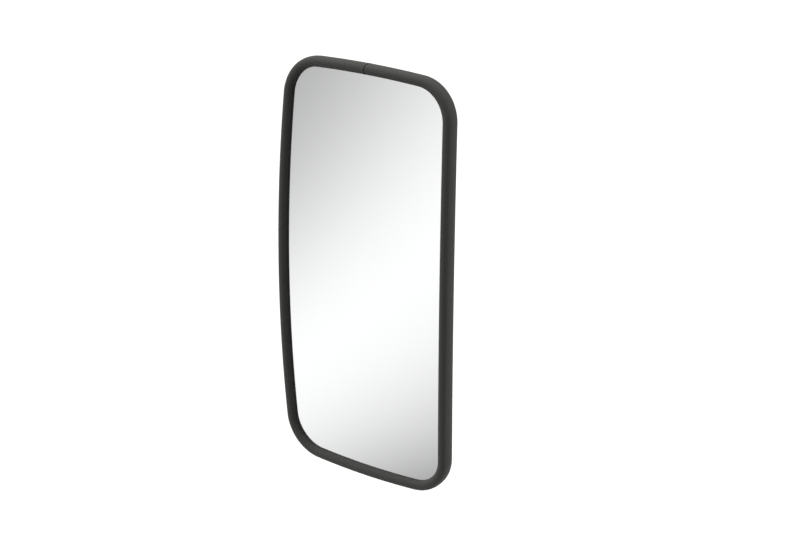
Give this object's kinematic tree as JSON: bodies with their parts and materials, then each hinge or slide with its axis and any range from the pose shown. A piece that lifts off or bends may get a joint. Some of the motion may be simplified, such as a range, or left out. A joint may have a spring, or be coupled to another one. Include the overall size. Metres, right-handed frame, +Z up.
{
  "type": "convex security mirror",
  "caption": "Upright rectangular convex mirror with a thick rubber edge bead, on a ball-joint wall bracket that lets the head pan, tilt and roll.",
  "frame": {"origin": "centre of the wall plate's back face, on the wall", "axes": "+Y into the wall, so the mirror faces -Y; +Z up along the mirror's long side; +X to the right of someone facing the mirror"},
  "size_m": [0.2, 0.0921, 0.4],
  "materials": {
    "black_paint": "black powder coat",
    "zinc": "bright zinc plate",
    "spring_steel": "plain spring steel",
    "cast_black": "black painted casting, fine orange peel",
    "shell_paint": "satin black paint on pressed steel",
    "nylon": "natural nylon",
    "nylon_insert": "blue nylon",
    "gasket_rubber": "black sheet rubber",
    "bead_rubber": "matt black extruded rubber",
    "foam": "dark grey closed-cell foam",
    "film": "grey safety film",
    "mirror_glass": "clear glass with a silvered face"
  },
  "bodies": {
    "wall_bracket": {"wall_plate": "black_paint", "arm_screws": "zinc", "clamp_arm": "cast_black", "upper_jaw": "cast_black", "clamp_screws": "zinc", "spring_washers": "spring_steel", "clamp_nuts": "zinc"},
    "seat_cups": {"upper_seat_cup": "nylon", "lower_seat_cup": "nylon"},
    "ball_stud_set": {"ball_stud": "zinc", "thrust_washer": "spring_steel", "wave_washer": "spring_steel", "lock_nut": "zinc", "lock_nut_insert": "nylon_insert"},
    "mirror_head": {"hub_bush": "nylon", "pivot_hub": "cast_black", "hub_gasket": "gasket_rubber", "hub_rivets": "spring_steel", "back_shell": "shell_paint", "stiffener_plate": "spring_steel", "foam_pad": "foam", "safety_film": "film", "mirror_glass": "mirror_glass", "edge_bead": "bead_rubber"}
  },
  "joints": [
    {"name": "pan", "type": "hinge", "parent": "wall_bracket", "child": "seat_cups", "pos_m": [0, -0.042, 0], "axis": [0, 0, 1], "range_deg": [-35, 35]},
    {"name": "tilt", "type": "hinge", "parent": "seat_cups", "child": "ball_stud_set", "pos_m": [0, -0.042, 0], "axis": [1, 0, 0], "range_deg": [-15, 15]},
    {"name": "roll", "type": "hinge", "parent": "ball_stud_set", "child": "mirror_head", "pos_m": [0, -0.042, 0], "axis": [0, 1, 0], "continuous": true}
  ]
}
